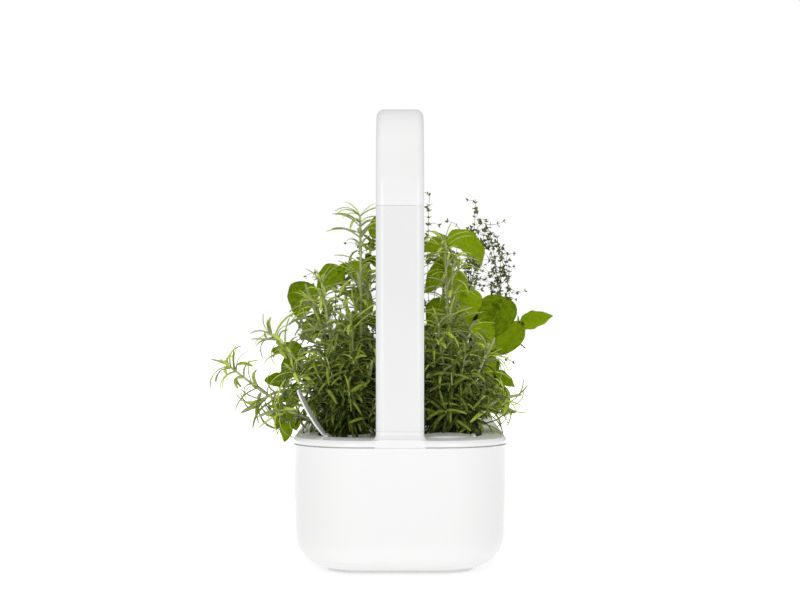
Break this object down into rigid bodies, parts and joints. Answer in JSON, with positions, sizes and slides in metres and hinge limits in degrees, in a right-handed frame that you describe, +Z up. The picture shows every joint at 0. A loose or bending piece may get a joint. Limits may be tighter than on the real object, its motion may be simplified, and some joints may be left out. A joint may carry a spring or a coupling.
{
  "type": "countertop hydroponic garden",
  "caption": "Long water tank with a lid of planted pods, a refill flap, a level float and a plug-in lamp that arches over the herbs.",
  "frame": {"origin": "middle of the plane that the rubber strips under the plinth rest on", "axes": "+X across the tank, +Y along the tank away from the refill end, +Z up"},
  "size_m": [0.3196, 0.6, 0.4052],
  "materials": {
    "gloss_white": "gloss moulded",
    "satin_white": "satin moulded",
    "grey_rubber": "matte",
    "steel": "plain",
    "black_plastic": "satin",
    "contact_brass": "plain",
    "lead_insulation": "satin",
    "clear_window": "frosted inside",
    "aluminium_plate": "mill",
    "white_board": "solder mask",
    "emitter": "phosphor",
    "green_board": "solder mask",
    "button_grey": "satin",
    "growing_sponge": "porous",
    "rosemary": "waxy needles",
    "basil": "glossy leaves",
    "thyme": "matte leaves"
  },
  "bodies": {
    "tank": {"water_tank": "gloss_white", "foot_strips": "grey_rubber"},
    "lid": {"lid": "gloss_white", "flap_pin": "steel", "float_pin": "steel", "power_inlet": "black_plastic", "lid_contacts": "contact_brass", "lid_wires": "lead_insulation"},
    "flap": {"refill_flap": "gloss_white"},
    "float": {"float_tongue": "gloss_white", "float_body": "satin_white"},
    "front_arm": {"front_extension": "gloss_white"},
    "rear_arm": {"rear_extension": "gloss_white", "rear_wires": "lead_insulation"},
    "lamp": {"lamp_housing": "gloss_white", "lamp_inner_cover": "gloss_white", "lamp_window": "clear_window", "heat_spreader": "aluminium_plate", "led_board": "white_board", "light_emitters": "emitter", "control_board": "green_board", "button_switch": "black_plastic", "lamp_wires": "lead_insulation", "lamp_screws": "steel"},
    "button": {"power_button": "button_grey"},
    "pod_1": {"cup_1": "satin_white", "sponge_1": "growing_sponge", "plant_1": "rosemary"},
    "pod_2": {"cup_2": "satin_white", "sponge_2": "growing_sponge", "plant_2": "thyme"},
    "pod_3": {"cup_3": "satin_white", "sponge_3": "growing_sponge", "plant_3": "rosemary"},
    "pod_4": {"cup_4": "satin_white", "sponge_4": "growing_sponge", "plant_4": "basil"},
    "pod_5": {"cup_5": "satin_white", "sponge_5": "growing_sponge", "plant_5": "basil"},
    "pod_6": {"cup_6": "satin_white", "sponge_6": "growing_sponge", "plant_6": "basil"},
    "pod_7": {"cup_7": "satin_white", "sponge_7": "growing_sponge", "plant_7": "thyme"},
    "pod_8": {"cup_8": "satin_white", "sponge_8": "growing_sponge", "plant_8": "thyme"},
    "pod_9": {"cup_9": "satin_white", "sponge_9": "growing_sponge", "plant_9": "thyme"}
  },
  "joints": [
    {"name": "lid_lift", "type": "slide", "parent": "tank", "child": "lid", "axis": [0, 0, 1], "range_m": [0, 0.08]},
    {"name": "refill_flap_hinge", "type": "hinge", "parent": "lid", "child": "flap", "pos_m": [-0.064, -0.2483, 0.1172], "axis": [0, 1, 0], "range_deg": [0, 122]},
    {"name": "float_hinge", "type": "hinge", "parent": "lid", "child": "float", "pos_m": [0.064, -0.2483, 0.1172], "axis": [0, 1, 0], "range_deg": [-18, 0], "stiffness_Nm_per_rad": 0.02, "springref_deg": 17.19},
    {"name": "front_arm_lift", "type": "slide", "parent": "lid", "child": "front_arm", "axis": [0, 0, 1], "range_m": [0, 0.03]},
    {"name": "rear_arm_lift", "type": "slide", "parent": "lid", "child": "rear_arm", "axis": [0, 0, 1], "range_m": [0, 0.03]},
    {"name": "lamp_lift", "type": "slide", "parent": "front_arm", "child": "lamp", "axis": [0, 0, 1], "range_m": [0, 0.03]},
    {"name": "button_press", "type": "slide", "parent": "lamp", "child": "button", "axis": [0, 0, -1], "range_m": [0, 0.001], "stiffness_N_per_m": 400},
    {"name": "pod_1_lift", "type": "slide", "parent": "lid", "child": "pod_1", "axis": [0, 0, 1], "range_m": [0, 0.06]},
    {"name": "pod_2_lift", "type": "slide", "parent": "lid", "child": "pod_2", "axis": [0, 0, 1], "range_m": [0, 0.06]},
    {"name": "pod_3_lift", "type": "slide", "parent": "lid", "child": "pod_3", "axis": [0, 0, 1], "range_m": [0, 0.06]},
    {"name": "pod_4_lift", "type": "slide", "parent": "lid", "child": "pod_4", "axis": [0, 0, 1], "range_m": [0, 0.06]},
    {"name": "pod_5_lift", "type": "slide", "parent": "lid", "child": "pod_5", "axis": [0, 0, 1], "range_m": [0, 0.06]},
    {"name": "pod_6_lift", "type": "slide", "parent": "lid", "child": "pod_6", "axis": [0, 0, 1], "range_m": [0, 0.06]},
    {"name": "pod_7_lift", "type": "slide", "parent": "lid", "child": "pod_7", "axis": [0, 0, 1], "range_m": [0, 0.06]},
    {"name": "pod_8_lift", "type": "slide", "parent": "lid", "child": "pod_8", "axis": [0, 0, 1], "range_m": [0, 0.06]},
    {"name": "pod_9_lift", "type": "slide", "parent": "lid", "child": "pod_9", "axis": [0, 0, 1], "range_m": [0, 0.06]}
  ],
  "couplings": [
    {"joint": "rear_arm_lift", "follows": "front_arm_lift", "ratio": 1}
  ]
}
